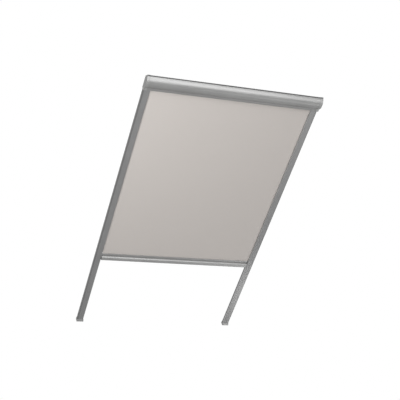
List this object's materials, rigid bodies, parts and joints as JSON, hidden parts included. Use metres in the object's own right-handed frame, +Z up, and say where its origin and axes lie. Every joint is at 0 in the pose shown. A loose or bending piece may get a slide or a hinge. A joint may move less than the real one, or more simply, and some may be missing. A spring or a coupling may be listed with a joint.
{
  "type": "skylight window blind",
  "caption": "Roller blind for a roof window: cassette with a sprung roller, side rails, blackout fabric and a bottom bar that slides in the rails and stays where it is put.",
  "frame": {"origin": "middle of the cassette's back face, which lies on the window's sash", "axes": "+Z up along the side rails towards the cassette, +X across the blind from its left rail to its right rail, +Y out of the blind's back into the sash, so -Y faces the room"},
  "size_m": [0.704, 0.0304, 1.2211],
  "materials": {
    "anodised_aluminium": "satin anodised extrusion, fine lines along its length",
    "rail_aluminium": "matt anodised extrusion",
    "silver_plastic": "moulded, silver grey, fine texture",
    "grey_rubber": "dark grey sealing strip",
    "blackout_fabric": "light warm grey, coated blackout cloth with a fine plain weave",
    "zinc_plated_steel": "bright zinc plate",
    "spring_steel": "oiled spring steel",
    "black_nylon": "moulded nylon",
    "grey_pile": "short grey pile"
  },
  "bodies": {
    "frame": {"cassette_base": "anodised_aluminium", "cassette_cover": "anodised_aluminium", "cassette_lip": "anodised_aluminium", "exit_brush": "grey_pile", "top_seal": "grey_rubber", "seal_corner_left": "grey_rubber", "seal_corner_right": "grey_rubber", "end_cap_left": "silver_plastic", "end_cap_right": "silver_plastic", "cap_screw_left_1": "zinc_plated_steel", "cap_screw_left_2": "zinc_plated_steel", "cap_screw_right_1": "zinc_plated_steel", "cap_screw_right_2": "zinc_plated_steel", "spring_shaft": "zinc_plated_steel", "spring_anchor": "black_nylon", "idle_pin": "zinc_plated_steel", "rail_base_left": "rail_aluminium", "rail_base_right": "rail_aluminium", "rail_cover_left": "rail_aluminium", "rail_cover_right": "rail_aluminium", "rail_pile_left": "grey_pile", "rail_pile_right": "grey_pile", "rail_foot_left": "silver_plastic", "rail_foot_right": "silver_plastic"},
    "roller": {"roller_tube": "anodised_aluminium", "drive_plug": "black_nylon", "idle_plug": "black_nylon", "torsion_spring": "spring_steel", "wound_fabric": "blackout_fabric"},
    "bar": {"bottom_bar": "anodised_aluminium", "fabric_spline": "black_nylon", "bar_end_left": "silver_plastic", "bar_end_right": "silver_plastic", "guide_shoe_left": "black_nylon", "guide_shoe_right": "black_nylon", "shoe_screw_left": "zinc_plated_steel", "shoe_screw_right": "zinc_plated_steel", "brake_pad_left": "grey_rubber", "brake_pad_right": "grey_rubber", "brake_spring_left": "spring_steel", "brake_spring_right": "spring_steel", "fabric_sheet": "blackout_fabric"}
  },
  "joints": [
    {"name": "bar_slide", "type": "slide", "parent": "frame", "child": "bar", "axis": [0, 0, 1], "range_m": [-0.335, 0.777], "deforming": ["fabric_sheet"]},
    {"name": "roller_spin", "type": "hinge", "parent": "frame", "child": "roller", "pos_m": [0, -0.01565, 0.002], "axis": [1, 0, 0], "range_deg": [-2130, 4935]}
  ],
  "couplings": [
    {"joint": "roller_spin", "follows": "bar_slide", "rad_per_m": 110.67}
  ]
}
